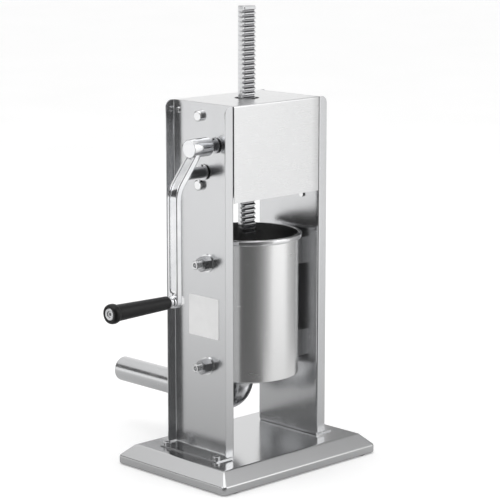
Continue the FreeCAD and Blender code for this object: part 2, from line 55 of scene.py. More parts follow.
SX = (low.x + high.x) * 500.0
SY = (low.y + high.y) * 500.0


def at(x, y, z):
    return Vector(((x + SX) / 1000.0, (y + SY) / 1000.0, z / 1000.0))


# ------------------------------------------------------------------ materials
class Nodes:
    """A material's node tree, with short calls for the nodes used here."""

    def __init__(self, name):
        self.mat = bpy.data.materials.new(name)
        self.mat.use_nodes = True
        self.tree = self.mat.node_tree
        self.shader = self.tree.nodes["Principled BSDF"]
        self.coord = self.tree.nodes.new("ShaderNodeTexCoord").outputs["Object"]

    def link(self, a, b):
        self.tree.links.new(a, b)

    def new(self, kind, **values):
        node = self.tree.nodes.new(kind)
        for key, value in values.items():
            setattr(node, key, value)
        return node

    def scaled(self, x, y, z):
        node = self.new("ShaderNodeMapping")
        node.inputs["Scale"].default_value = (x, y, z)
        self.link(self.coord, node.inputs["Vector"])
        return node.outputs["Vector"]

    def noise(self, scale, detail=3.0, rough=0.55, distortion=0.0):
        node = self.new("ShaderNodeTexNoise")
        self.link(self.scaled(*scale), node.inputs["Vector"])
        node.inputs["Scale"].default_value = 1.0
        node.inputs["Detail"].default_value = detail
        node.inputs["Roughness"].default_value = rough
        node.inputs["Distortion"].default_value = distortion
        return node.outputs["Fac"]

    def ramp(self, fac, stops):
        node = self.new("ShaderNodeValToRGB")
        elements = node.color_ramp.elements
        while len(elements) < len(stops):
            elements.new(0.5)
        for element, (pos, value) in zip(elements, stops):
            element.position = pos
            if isinstance(value, (int, float)):
                value = (value, value, value)
            element.color = (*value, 1.0)
        self.link(fac, node.inputs["Fac"])
        return node.outputs["Color"]

    def span(self, fac, a, b, c, d):
        node = self.new("ShaderNodeMapRange")
        self.link(fac, node.inputs["Value"])
        for key, value in zip(("From Min", "From Max", "To Min", "To Max"), (a, b, c, d)):
            node.inputs[key].default_value = value
        return node.outputs["Result"]

    def from_axis(self):
        """Distance from the canister's and rack's axis, in metres."""
        axis = at(0, 0, 0)
        flat = self.new("ShaderNodeVectorMath", operation="MULTIPLY_ADD")
        self.link(self.coord, flat.inputs[0])
        flat.inputs[1].default_value = (1, 1, 0)
        flat.inputs[2].default_value = (-axis[0], -axis[1], 0)
        length = self.new("ShaderNodeVectorMath", operation="LENGTH")
        self.link(flat.outputs["Vector"], length.inputs[0])
        return length.outputs["Value"]

    def mix(self, fac, a, b):
        """From a to b as fac goes from 0 to 1; a and b are colours or outputs."""
        node = self.new("ShaderNodeMix", data_type="RGBA")
        for key, value in (("Factor", fac), ("A", a), ("B", b)):
            slot = [s for s in node.inputs if s.name == key and s.enabled][0]
            if isinstance(value, tuple):
                slot.default_value = (*value, 1.0)
            else:
                self.link(value, slot)
        return [s for s in node.outputs if s.enabled][0]

    def math(self, op, a, b=0.0):
        node = self.new("ShaderNodeMath", operation=op)
        for i, value in enumerate((a, b)):
            if isinstance(value, (int, float)):
                node.inputs[i].default_value = value
            else:
                self.link(value, node.inputs[i])
        return node.outputs[0]

    def bump(self, *layers):
        """Each layer is (height output, strength, distance in mm)."""
        before = None
        for height, strength, distance in layers:
            node = self.new("ShaderNodeBump")
            node.inputs["Strength"].default_value = strength
            node.inputs["Distance"].default_value = distance / 1000.0
            self.link(height, node.inputs["Height"])
            if before is not None:
                self.link(before, node.inputs["Normal"])
            before = node.outputs["Normal"]
        self.link(before, self.shader.inputs["Normal"])

    def colour(self, output):
        self.link(output, self.shader.inputs["Base Color"])

    def rough(self, output):
        self.link(output, self.shader.inputs["Roughness"])

    def set(self, **values):
        names = {"metallic": "Metallic", "coat": "Coat Weight", "coat_rough": "Coat Roughness",
                 "spec": "Specular IOR Level", "roughness": "Roughness"}
        for key, value in values.items():
            self.shader.inputs[names[key]].default_value = value


# Painted shade: darker tones for the canister's inside and for the gaps between the rack's teeth.
BORE_PAINTED_SHADE_TONE = (0.36, 0.36, 0.365)
GULLET_PAINTED_SHADE_TONE = (0.36, 0.36, 0.37)
GULLET_Y = (5.6, 6.8)               # mm from the rack's axis, over which the teeth's crests take over
RACK_SIDE_R = (0.0114, 0.0119)      # m from the rack's axis, over which its round side takes over


def stainless(name, tone, rough, grain, grain_strength=0.10, wave=0.35, wave_scale=9.0, smudge=0.06,
              level_rough=None, depth=1.0, bore=None, painted_gullet_shade=False):
    """Rolled or polished stainless. grain is the scale of the brushing along X, Y and Z.
    level_rough is the share of the roughness left on level faces, which are better polished,
    and depth is how strongly the brushing shows in the tone and the gloss. Metal nearer the axis
    than bore, in metres, is painted darker as shade inside the canister, and so are the gaps
    between the rack's teeth: both painted shades were set against the photograph."""
    n = Nodes(name)
    n.set(metallic=1.0)
    lines = n.noise(grain, 4.0, 0.65)
    cloud = n.noise((wave_scale, wave_scale, wave_scale), 2.0, 0.5, 0.6)
    spots = n.noise((55, 55, 55), 5.0, 0.6)
    tint = n.ramp(lines, [(0.25, tuple(c * (1 - 0.07 * depth) for c in tone)), (0.75, tone)])
    tint = n.mix(n.span(cloud, 0.3, 0.7, 0.0, 0.35), tint, tuple(min(1, c * 1.04) for c in tone))
    # Painted shade: the canister's inside, nearer the axis than bore, is darkened.
    if bore:
        tint = n.mix(n.span(n.from_axis(), bore, bore + 0.0006, 0.0, 1.0), BORE_PAINTED_SHADE_TONE, tint)
    # Painted shade: the gaps between the rack's teeth are darkened, away from the crests and the round side.
    if painted_gullet_shade:
        place = n.new("ShaderNodeSeparateXYZ")
        n.link(n.coord, place.inputs["Vector"])
        crest = n.span(place.outputs["Y"], *(at(0, y, 0)[1] for y in GULLET_Y), 0.0, 1.0)
        side = n.span(n.from_axis(), *RACK_SIDE_R, 0.0, 1.0)
        tint = n.mix(n.math("MAXIMUM", crest, side), GULLET_PAINTED_SHADE_TONE, tint)
    n.colour(tint)
    brushed = n.span(lines, 0.2, 0.8, rough * (1 - 0.18 * depth), rough * (1 + 0.22 * depth))
    value = n.math("ADD", brushed, n.span(spots, 0.45, 0.75, 0.0, smudge))
    if level_rough is not None:
        parts = n.new("ShaderNodeSeparateXYZ")
        n.link(n.new("ShaderNodeNewGeometry").outputs["Normal"], parts.inputs["Vector"])
        value = n.math("MULTIPLY", value, n.span(parts.outputs["Z"], 0.90, 0.97, 1.0, level_rough))
    n.rough(value)
    layers = [(cloud, wave, 0.35)]
    if grain_strength:
        layers.append((lines, grain_strength, 0.02))
    n.bump(*layers)
    return n.mat


def plain_steel(name, tone, rough, speck=0.5, mottled=0.12):
    n = Nodes(name)
    n.set(metallic=1.0)
    fine = n.noise((900, 900, 900), 5.0, 0.6)
    large = n.noise((60, 60, 60), 3.0, 0.6, 0.4)
    n.colour(n.ramp(large, [(0.3, tuple(c * (1 - mottled) for c in tone)), (0.7, tone)]))
    n.rough(n.math("ADD", n.span(large, 0.3, 0.7, rough, rough * 1.35),
                   n.span(fine, 0.4, 0.7, 0.0, 0.05)))
    n.bump((large, 0.12, 0.08), (fine, speck * 0.25, 0.015))
    return n.mat


def chrome(name):
    """Chrome over a slightly uneven casting."""
    n = Nodes(name)
    n.set(metallic=1.0)
    slow = n.noise((38, 38, 38), 2.0, 0.5, 0.5)
    pits = n.noise((700, 700, 700), 4.0, 0.6)
    n.colour(n.ramp(slow, [(0.3, (0.80, 0.81, 0.83)), (0.7, (0.92, 0.925, 0.935))]))
    n.rough(n.math("ADD", n.span(slow, 0.3, 0.75, 0.11, 0.17), n.span(pits, 0.55, 0.8, 0.0, 0.06)))
    n.bump((slow, 0.22, 0.35), (pits, 0.04, 0.02))
    return n.mat


def plastic(name, tone, rough, coat=0.0, grain=1500, strength=0.12, spec=0.5, mottle=0.2):
    n = Nodes(name)
    fine = n.noise((grain, grain, grain), 3.0, 0.6)
    large = n.noise((45, 45, 45), 4.0, 0.6, 0.3)
    n.colour(n.ramp(large, [(0.3, tuple(c * (1 - mottle) for c in tone)),
                            (0.75, tuple(min(1, c * (1 + mottle)) for c in tone))]))
    n.rough(n.math("ADD", n.span(large, 0.3, 0.7, rough * 0.85, rough * 1.2),
                   n.span(fine, 0.4, 0.7, 0.0, 0.05)))
    n.bump((large, 0.08, 0.15), (fine, strength, 0.03))
    n.set(coat=coat, coat_rough=0.15, spec=spec)
    return n.mat


M = {
    "plate": stainless("plate_stainless", (0.72, 0.725, 0.735), 0.20, (1500, 1500, 22),
                       0.035, 0.035, 5.0, 0.03),
    "cover": stainless("cover_stainless", (0.87, 0.872, 0.875), 0.28, (22, 1500, 1500),
                       0.05, 0.03, 5.0, 0.03),
    "base": stainless("base_stainless", (0.69, 0.693, 0.70), 0.27, (22, 600, 600),
                      0.0, 0.03, 5.0, 0.0, level_rough=0.6, depth=0.05),
    # The canister's inside is painted darker as shade, through bore.
    "canister": stainless("canister_stainless", (0.945, 0.945, 0.945), 0.26, (30, 30, 700),
                          0.0, 0.015, 6.0, 0.01, depth=0.25, bore=0.0690),
    "rim": stainless("rim_stainless", (0.82, 0.82, 0.83), 0.12, (160, 160, 1400), 0.05, 0.1, 9.0, 0.03),
    "tube": stainless("tube_stainless", (0.76, 0.765, 0.775), 0.21, (500, 60, 500), 0.10, 0.08, 12.0),
    "elbow": stainless("elbow_stainless", (0.72, 0.725, 0.735), 0.20, (220, 220, 220), 0.10, 0.12, 12.0),
    # The gaps between the rack's teeth are painted darker as shade.
    "rack": stainless("rack_ground_steel", (0.74, 0.745, 0.755), 0.16, (240, 240, 1500), 0.05, 0.03, 14.0,
                      painted_gullet_shade=True),
    "zinc": plain_steel("zinc_plated_steel", (0.72, 0.725, 0.735), 0.22),
    "pin": plain_steel("turned_pin_steel", (0.85, 0.855, 0.86), 0.18, 0.3, 0.06),
    "bracket": plain_steel("bracket_steel", (0.50, 0.505, 0.515), 0.38, 0.7),
    "gear": plain_steel("oiled_gear_steel", (0.33, 0.335, 0.35), 0.26, 0.6, 0.25),
    "chrome": chrome("crank_chrome"),
    "nylon_black": plastic("black_nylon", (0.018, 0.018, 0.019), 0.45),
    "nylon_white": plastic("white_nylon", (0.78, 0.77, 0.73), 0.42),
    "silicone": plastic("food_silicone", (0.72, 0.69, 0.62), 0.5),
    "rubber": plastic("black_rubber", (0.02, 0.02, 0.02), 0.7, 0.0, 1100, 0.3),
    "grip": plastic("grip_plastic", (0.006, 0.006, 0.0065), 0.34, 0.0, 1300, 0.10, 0.32),
    "socket": plain_steel("socket_shadow_steel", (0.16, 0.16, 0.165), 0.45),
    "label": plastic("blank_label", (0.72, 0.72, 0.72), 0.45, 0.0, 700, 0.03, 0.35, 0.04),
    "nut": plain_steel("dull_nut_steel", (0.46, 0.465, 0.475), 0.24, 0.4, 0.10),
    "bright_bolt": plain_steel("bright_zinc", (0.93, 0.935, 0.94), 0.13, 0.2, 0.05),
}


# ------------------------------------------------------------------ mesh code
def finish_mesh(name, bm, material, body, bevel=0.0, segments=2, sharp=32.0, solid=0.0, offset=-1.0):
    if not solid:
        bmesh.ops.recalc_face_normals(bm, faces=bm.faces)
    for face in bm.faces:
        face.smooth = True
    limit = math.radians(sharp)
    for edge in bm.edges:
        if len(edge.link_faces) == 2 and edge.calc_face_angle(0.0) > limit:
            edge.smooth = False
    mesh = bpy.data.meshes.new(name)
    bm.to_mesh(mesh)
    bm.free()
    obj = bpy.data.objects.new(name, mesh)
    bpy.context.scene.collection.objects.link(obj)
    if solid:
        mod = obj.modifiers.new("sheet", "SOLIDIFY")
        mod.thickness = solid / 1000.0
        mod.offset = offset
        mod.use_even_offset = True
    if bevel:
        mod = obj.modifiers.new("edge", "BEVEL")
        mod.width = bevel / 1000.0
        mod.segments = segments
        mod.limit_method = "ANGLE"
        mod.angle_limit = math.radians(34)
        mod.harden_normals = True
    else:
        mod = obj.modifiers.new("flat_faces_stay_flat", "WEIGHTED_NORMAL")
        mod.keep_sharp = True
    mesh.materials.append(M[material])
    if body:
        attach(obj, body)
    return obj


def skin(bm, rings):
    """Faces between each ring of vertices and the next."""
    for a, b in zip(rings, rings[1:]):
        for i in range(len(a)):
            j = (i + 1) % len(a)
            bm.faces.new((a[i], a[j], b[j], b[i]))


def close_ends(bm, rings):
    bm.faces.new(rings[0])
    bm.faces.new(rings[-1])


def axis_frame(axis):
    """Two directions across the axis, and the axis itself."""
    a = Vector(axis).normalized()
    u = Vector((0, 0, 1)) if abs(a.z) < 0.9 else Vector((1, 0, 0))
    u = (u - a * u.dot(a)).normalized()
    return u, a.cross(u), a


def lathe(name, profile, origin, axis, material, body, steps=96, ripple=None, bevel=0.0, sharp=32.0,
          closed=False):
    """Turns (distance along axis, radius) pairs about an axis through origin, all in mm."""
    u, v, a = axis_frame(axis)
    bm = bmesh.new()
    rings = []
    base = Vector(origin)
    for t, r in profile:
        ring = []
        if r < 1e-6:
            p = base + a * t
            ring = [bm.verts.new(at(*p))] * steps
        else:
            for i in range(steps):
                ang = 2 * math.pi * i / steps
                rr = r * (ripple(ang, t, r) if ripple else 1.0)
                p = base + a * t + (u * math.cos(ang) + v * math.sin(ang)) * rr
                ring.append(bm.verts.new(at(*p)))
        rings.append(ring)
    pairs = list(zip(rings, rings[1:]))
    if closed:
        pairs.append((rings[-1], rings[0]))
    for lo, hi in pairs:
        for i in range(steps):
            j = (i + 1) % steps
            quad = [lo[i], lo[j], hi[j], hi[i]]
            quad = [q for k, q in enumerate(quad) if q not in quad[:k]]
            if len(quad) > 2:
                bm.faces.new(quad)
    return finish_mesh(name, bm, material, body, bevel, 2, sharp)


def round_profile(points, radius, steps=4):
    """Rounds the inner corners of an open (t, r) profile with arcs of about radius."""
    out = [points[0]]
    for k in range(1, len(points) - 1):
        p0, p1, p2 = (Vector((*points[i], 0)) for i in (k - 1, k, k + 1))
        d0, d2 = p0 - p1, p2 - p1
        r = min(radius, d0.length * 0.45, d2.length * 0.45)
        if r < 0.02 or d0.angle(d2) > math.radians(172):
            out.append(points[k])
            continue
        a, b = p1 + d0.normalized() * r, p1 + d2.normalized() * r
        for s in range(steps + 1):
            t = s / steps
            q = a * (1 - t) ** 2 + p1 * 2 * t * (1 - t) + b * t * t
            out.append((q.x, q.y))
    out.append(points[-1])
    return out


def grid_sheet(name, rows, material, body, thickness, bevel=0.25, offset=-1.0, sharp=60.0):
    """A sheet from rows of points (mm); solidify gives it its thickness."""
    bm = bmesh.new()
    verts = [[bm.verts.new(at(*p)) for p in row] for row in rows]
    for a, b in zip(verts, verts[1:]):
        for i in range(len(a) - 1):
            bm.faces.new((a[i], a[i + 1], b[i + 1], b[i]))
    return finish_mesh(name, bm, material, body, bevel, 2, sharp, thickness, offset)


def cut_with(obj, cutters):
    """Cuts simple bodies out of obj and keeps the result as its mesh."""
    for tool in cutters:
        mod = obj.modifiers.new("cut", "BOOLEAN")
        mod.operation = "DIFFERENCE"
        mod.solver = "EXACT"
        mod.object = tool
        tool.hide_render = True
    bpy.context.view_layer.update()
    graph = bpy.context.evaluated_depsgraph_get()
    mesh = bpy.data.meshes.new_from_object(obj.evaluated_get(graph))
    obj.modifiers.clear()
    obj.data = mesh
    for tool in cutters:
        bpy.data.objects.remove(tool)


def cutter(r, origin, axis, length, steps=96):
    """A plain round bar to cut with, in mm."""
    u, v, a = axis_frame(axis)
    bm = bmesh.new()
    ends = []
    for t in (0, length):
        ends.append([bm.verts.new(at(*(Vector(origin) + a * t
                     + (u * math.cos(2 * math.pi * i / steps) + v * math.sin(2 * math.pi * i / steps)) * r)))
                     for i in range(steps)])
    bm.faces.new(ends[0])
    bm.faces.new(ends[1])
    for i in range(steps):
        j = (i + 1) % steps
        bm.faces.new((ends[0][i], ends[0][j], ends[1][j], ends[1][i]))
    bmesh.ops.recalc_face_normals(bm, faces=bm.faces)
    mesh = bpy.data.meshes.new("cutter")
    bm.to_mesh(mesh)
    bm.free()
    obj = bpy.data.objects.new("cutter", mesh)
    bpy.context.scene.collection.objects.link(obj)
    return obj


# ------------------------------------------------------------------ base pan
SHEET = 1.5                         # mm, the pan's and the side plates' sheet


def pan_ring(hx, hy, z, r, steps=7, shift=1.5):
    """A rounded rectangle of half sizes hx and hy at height z, shifted along Y, in mm."""
    pts = []
    for cx, cy, a0 in ((hx - r, hy - r, 0), (-hx + r, hy - r, 90),
                       (-hx + r, -hy + r, 180), (hx - r, -hy + r, 270)):
        for s in range(steps):
            a = math.radians(a0 + 90 * s / (steps - 1))
            pts.append((cx + r * math.cos(a), cy + r * math.sin(a) + shift, z))
    return pts


bm = bmesh.new()
# half length, half width, height and corner radius, from the inner lip of the underside to the top
levels = [(123.5, 84.5, 1.5, 1.0), (142.5, 103.5, 1.5, 5.0), (144.4, 105.4, 1.8, 6.0), (145.0, 106.0, 2.8, 6.0),
          (145.0, 106.0, 10.6, 6.0), (144.8, 105.8, 11.8, 5.8), (144.0, 105.0, 13.2, 5.4),
          (131.2, 90.3, 26.0, 2.4), (130.0, 89.0, 27.2, 2.0), (128.4, 87.4, 27.85, 1.6), (126.4, 85.4, 28.0, 1.2)]
rings = [[bm.verts.new(at(*p)) for p in pan_ring(*level)] for level in levels]
skin(bm, rings)
bm.faces.new(rings[-1])
pan = finish_mesh("base_pan_sheet", bm, "base", "frame", sharp=75.0, solid=SHEET)
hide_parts("base_pan")


# ------------------------------------------------------------------ side plates
WEB_X, FLANGE_END = 79.4, 94.55     # middle of the web, and end of the flanges
HALF_Y = 57.6                       # half the width of a plate and of the cover
PLATE_LOW, PLATE_TOP = 31.5, 500.0
EDGE_R, FOOT_R = 9.5, 3.0           # rounding of the flanges' top and bottom corners
FOOT_Z, FOOT_END, FOOT_HALF_Y = 29.5, 110.0, 55.6


def side_plate(name, side, node):
    """A channel with flanges that stand outwards, and its foot; side is 1 or -1 along X."""
    line = round_profile([(FLANGE_END, HALF_Y), (WEB_X, HALF_Y), (WEB_X, -HALF_Y), (FLANGE_END, -HALF_Y)], 2.6, 5)
    dense = []
    for (x0, y0), (x1, y1) in zip(line, line[1:]):
        count = 24 if abs(y1 - y0) > 50 else 16 if abs(x1 - x0) > 5 else 1
        for i in range(count):
            t = i / count
            dense.append((x0 + (x1 - x0) * t, y0 + (y1 - y0) * t))
    dense.append(line[-1])

    def corner(x, r):
        """How far a corner of radius r has cut into the flange at x."""
        d = x - (FLANGE_END - r)
        return 0.0 if d <= 0 else r - math.sqrt(max(0.0, r ** 2 - d ** 2))

    offset = -1.0 if side > 0 else 1.0
    rows = []
    for k in range(17):
        t = k / 16
        row = []
        for x, y in dense:
            low, high = PLATE_LOW + corner(x, FOOT_R), PLATE_TOP - corner(x, EDGE_R)
            row.append((side * x, y, low + (high - low) * t))
        rows.append(row)
    plate = grid_sheet(name, rows, "plate", "frame", SHEET, 0.22, offset)
    inner = WEB_X + SHEET
    fold = round_profile([(inner, PLATE_LOW), (inner, FOOT_Z), (FOOT_END, FOOT_Z)], 1.4, 5)
    rows = [[(side * x, -FOOT_HALF_Y + 2 * FOOT_HALF_Y * i / 8, z) for x, z in fold] for i in range(9)]
    foot = grid_sheet(name + "_foot", rows, "plate", "frame", SHEET, 0.22, offset)
    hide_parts(node)


side_plate("crank_side_channel", 1, "crank_side_plate")
side_plate("far_side_channel", -1, "far_side_plate")

# ------------------------------------------------------------------ gear cover
COVER_LOW, COVER_HALF_X = 372.4, 78.7
line = round_profile([(-HALF_Y, COVER_LOW), (-HALF_Y, PLATE_TOP), (HALF_Y, PLATE_TOP), (HALF_Y, COVER_LOW)], 2.4, 6)
rows = [[(-COVER_HALF_X + 2 * COVER_HALF_X * i / 12, y, z) for y, z in line] for i in range(13)]
cover = grid_sheet("gear_cover_sheet", rows, "cover", "frame", 1.0, 0.0, 1.0)
cut_with(cover, [cutter(16.6, (0, 0, 480), (0, 0, 1), 60)])
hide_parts("gear_cover")

# ------------------------------------------------------------------ canister
OUTLET_Y, OUTLET_Z = -13.4, 80.5    # the hole in the canister's bottom, and the tube's height
wall = [(125.0, 0.0), (125.0, 66.5), (127.3, 68.8), (318.0, 68.8), (318.5, 69.2), (318.5, 70.0), (126.0, 70.0),
        (124.6, 69.4), (123.8, 68.2), (123.5, 66.5), (123.5, 0.0)]
shell = lathe("canister_body", wall, (0, 0, 0), (0, 0, 1), "canister", "frame", 192, sharp=40.0)
cut_with(shell, [cutter(17.5, (0, OUTLET_Y, 110), (0, 0, 1), 30)])
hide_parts("canister_shell")
bead = []
for i in range(29):
    a = math.radians(-90 + 360 * i / 28)
    ca, sa = math.cos(a), math.sin(a)
    bead.append((315.0 + 3.5 * math.copysign(abs(sa) ** 0.8, sa),
                 72.35 + 2.45 * math.copysign(abs(ca) ** 0.8, ca)))
rim = lathe("canister_rolled_rim", bead[:-1], (0, 0, 0), (0, 0, 1), "rim", "frame", 192, closed=True)
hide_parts("canister_rim")

# ------------------------------------------------------------------ outlet elbow, nut, tube
def swept(name, path, radius, material, body, steps=64, inner=1.5):
    """A tube along a path in the plane X = 0, open at both ends."""
    bm = bmesh.new()
    outer, bore = [], []
    for k, (y, z) in enumerate(path):
        y0, z0 = path[max(0, k - 1)]
        y1, z1 = path[min(len(path) - 1, k + 1)]
        d = Vector((0, y1 - y0, z1 - z0)).normalized()
        side = Vector((1, 0, 0))
        up = d.cross(side)
        for rings, r in ((outer, radius), (bore, radius - inner)):
            rings.append([bm.verts.new(at(*(Vector((0, y, z)) + (side * math.cos(2 * math.pi * i / steps)
                          + up * math.sin(2 * math.pi * i / steps)) * r))) for i in range(steps)])
    for pair in (outer, bore, (outer[0], bore[0]), (outer[-1], bore[-1])):
        skin(bm, pair)
    return finish_mesh(name, bm, material, body, 0.2)


BEND_R = 36.7
bend_y, bend_z = OUTLET_Y - BEND_R, OUTLET_Z + BEND_R
path = [(OUTLET_Y, 123.4), (OUTLET_Y, 120.0)]
for i in range(25):
    a = math.radians(90 * i / 24)
    path.append((bend_y + BEND_R * math.cos(a), bend_z - BEND_R * math.sin(a)))
path += [(y, OUTLET_Z) for y in (-60.0, -72.0, -84.0)]
elbow = swept("outlet_bend", path, 19.0, "elbow", "frame")
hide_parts("outlet_elbow")
weld = lathe("outlet_weld_bead", [(121.2, 18.9), (121.9, 20.2), (122.9, 21.1), (123.45, 21.3), (123.45, 18.8)],
             (0, OUTLET_Y, 0), (0, 0, 1), "elbow", "frame", 96,
             lambda ang, t, r: 1 + 0.012 * math.sin(46 * ang) if r > 19 else 1)
thread = [(-80.0, 19.0), (-80.0, 22.4)]
for k in range(8):
    y = -2.2 * k
    thread += [(y - 81.0, 22.2), (y - 81.7, 23.0), (y - 82.3, 23.0), (y - 83.0, 22.2)]
thread += [(-99.4, 22.2), (-100.0, 21.7), (-100.0, 17.5), (-82.0, 17.5)]
TUBE_AXIS = ((0, 0, OUTLET_Z), (0, -1, 0))
collar = lathe("outlet_threaded_collar", [(-t, r) for t, r in thread], *TUBE_AXIS, "elbow", "frame", 96)
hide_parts("outlet_collar")


def lobes(ang, t, r):
    """Eight finger grips round the nut's outside."""
    if r < 26:
        return 1.0
    wave = 0.5 + 0.5 * math.cos(8 * ang)
    return 1.0 - 0.085 * (1 - min(1.0, wave * 1.6)) ** 1.3


nut_line = round_profile([(86.0, 23.05), (86.0, 26.4), (87.2, 28.0), (109.6, 28.0), (112.0, 26.0), (112.0, 18.55),
                          (105.1, 18.55), (105.1, 23.05), (86.0, 23.05)], 0.8, 3)
nut = lathe("outlet_coupling_nut", nut_line, *TUBE_AXIS, "elbow", "outlet_nut", 192, lobes)
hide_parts("outlet_nut")
tube_line = round_profile([(102.0, 16.6), (102.0, 22.5), (105.0, 22.5), (105.0, 18.5), (113.5, 18.5),
                           (113.5, 17.8), (257.0, 17.8), (258.6, 17.6),
                           (259.0, 17.2), (258.6, 16.7), (257.4, 16.6), (102.0, 16.6)], 0.5, 3)
tube = lathe("stuffing_tube_sheet", tube_line, *TUBE_AXIS, "tube", "stuffing_tube", 96)
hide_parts("stuffing_tube")

# ------------------------------------------------------------------ rack
SHAFT_Y, SHAFT_Z = 24.0, 446.0      # the crank shaft
MODULE = 2.0
PRESSURE = math.tan(math.radians(20))
pitch = MODULE * math.pi
# half widths of a gap at its mouth and at its bottom, with 0.06 mm of backlash each side
crest = pitch / 4 + 0.06 + MODULE * PRESSURE
root = pitch / 4 + 0.06 - 1.25 * MODULE * PRESSURE
stations = [(254.0, 7.0)]           # height, and how far the toothed side stands from the axis
for k in range(-20, 28):
    z = SHAFT_Z + k * pitch
    stations += [(z - crest - 0.16, 7.0), (z - crest + 0.10, 6.8), (z - root, 2.5), (z + root, 2.5),
                 (z + crest - 0.10, 6.8), (z + crest + 0.16, 7.0)]
stations += [(621.7, 7.0)]
bm = bmesh.new()
rings = []
arc = 44
for z, yf in stations + [(622.5, 6.3)]:
    r = 12.0 if z < 622 else 11.3
    a0 = math.asin(yf / r)
    ring = []
    for i in range(arc + 1):
        a = a0 - (math.pi + 2 * a0) * i / arc
        ring.append(bm.verts.new(at(r * math.cos(a), r * math.sin(a), z)))
    rings.append(ring)
skin(bm, rings)
close_ends(bm, rings)
rack = finish_mesh("toothed_rack", bm, "rack", "rack_and_piston", sharp=24.0)
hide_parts("rack")

# ------------------------------------------------------------------ crank
ARM_X, BEND_Z, GRIP_Z = 153.25, 392.6, 249.0
GROOVE_LOW, GROOVE_HALF, GROOVE_DEEP = 259.0, 4.9, 1.9
ARM_WIDTH, ARM_THICK = 18.0, 9.5
GRIP_AXIS = ((0, SHAFT_Y, GRIP_Z), (1, 0, 0))
hub_line = round_profile([(90.5, 7.6), (90.5, 9.4), (95.0, 12.3), (127.5, 12.0), (127.5, 0.0)], 0.9, 4)
hub = lathe("crank_hub", hub_line, (0, SHAFT_Y, SHAFT_Z), (1, 0, 0), "chrome", "crank", 96)

# the arm's middle line in X and Z, from inside the hub down to the boss under the grip
start, bend = Vector((115.5, 441.0, 0)), Vector((ARM_X, BEND_Z, 0))
straight = [start + (bend - start) * (k / 12 * 0.80) for k in range(13)]
smooth = [(p.x, p.y) for p in straight]
p0, p2 = straight[-1], Vector((ARM_X, BEND_Z - 12.0, 0))
for k in range(1, 11):
    t = k / 10
    q = p0 * (1 - t) ** 2 + bend * 2 * t * (1 - t) + p2 * t * t
    smooth.append((q.x, q.y))
for k in range(1, 46):
    smooth.append((ARM_X, p2.y - (p2.y - GRIP_Z) * k / 45))


def arm_section(width, thick, groove_half, groove_deep):
    """The arm's section: across (Y) and through (n, + is the outer face), edges rounded."""
    w, t, g = width / 2, thick / 2, groove_half
    pts = []
    for cy, cn, a0 in ((w - 2.2, -t + 2.2, -90), (w - 1.6, t - 1.6, 0)):
        r = 2.2 if cn < 0 else 1.6
        for s in range(6):
            a = math.radians(a0 + 90 * s / 5)
            pts.append((cy + r * math.cos(a), cn + r * math.sin(a)))
    pts += [(g + 0.5, t), (g + 0.15, t - 0.12 * groove_deep), (g - 0.35, t - 0.85 * groove_deep),
            (g - 0.9, t - groove_deep), (0.0, t - groove_deep)]
    left = [(-y, n) for y, n in reversed(pts) if y > 1e-9]
    return pts + left


bm = bmesh.new()
rings = []
for k, (x, z) in enumerate(smooth):
    a, b = smooth[max(0, k - 1)], smooth[min(len(smooth) - 1, k + 1)]
    d = Vector((b[0] - a[0], b[1] - a[1])).normalized()
    n = Vector((-d.y, d.x))
    if n.x < 0:
        n = -n
    # the groove runs out in a round end above the boss
    end = max(0.0, z - GROOVE_LOW)
    short = max(0.0, GROOVE_HALF - end)
    half = max(1.2, math.sqrt(GROOVE_HALF ** 2 - short ** 2))
    deep = GROOVE_DEEP * min(1.0, end / 1.6)
    rings.append([bm.verts.new(at(x + n.x * q, SHAFT_Y + y, z + n.y * q))
                  for y, q in arm_section(ARM_WIDTH, ARM_THICK, half, deep)])
skin(bm, rings)
close_ends(bm, rings)
arm = finish_mesh("crank_arm_bar", bm, "chrome", "crank", sharp=38.0)
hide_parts("crank_arm")
boss_line = round_profile([(148.4, 0.0), (148.4, 9.0), (158.1, 9.0), (158.1, 0.0)], 2.0, 5)
boss = lathe("crank_arm_boss", boss_line, *GRIP_AXIS, "chrome", "crank", 72)
ferrule_line = round_profile([(157.6, 0.0), (157.6, 8.2), (160.2, 8.2), (161.2, 6.8), (163.4, 6.8), (164.2, 7.6),
                              (165.7, 7.6), (165.7, 4.1)], 0.6, 3)
ferrule = lathe("grip_ferrule_turned", ferrule_line, *GRIP_AXIS, "chrome", "crank", 72)
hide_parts("grip_ferrule")
grip_line = round_profile([(166.0, 4.06), (166.0, 8.0), (168.0, 8.8), (206.0, 9.6), (250.0, 10.7), (254.6, 10.9),
                           (255.4, 12.2), (258.4, 13.1), (262.6, 12.9), (265.2, 11.9), (266.0, 10.6), (265.6, 8.35),
                           (262.0, 8.3), (262.0, 4.06)], 1.2, 4)
grip = lathe("grip_turned", grip_line, *GRIP_AXIS, "grip", "grip", 96)
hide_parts("grip")
head_line = round_profile([(141.6, 0.0), (141.6, 3.6), (142.2, 4.0), (262.1, 4.0), (262.1, 8.2), (264.9, 8.2),
                           (265.9, 7.2), (265.6, 4.2), (263.9, 3.6), (263.5, 0.0)], 0.5, 3)
head = lathe("grip_spindle_bolt", head_line, *GRIP_AXIS, "zinc", "crank", 72)
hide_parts("grip_spindle")
dot = lathe("grip_spindle_socket", [(263.6, 0.0), (263.75, 2.6), (263.3, 3.0)], *GRIP_AXIS, "socket", "crank", 6)

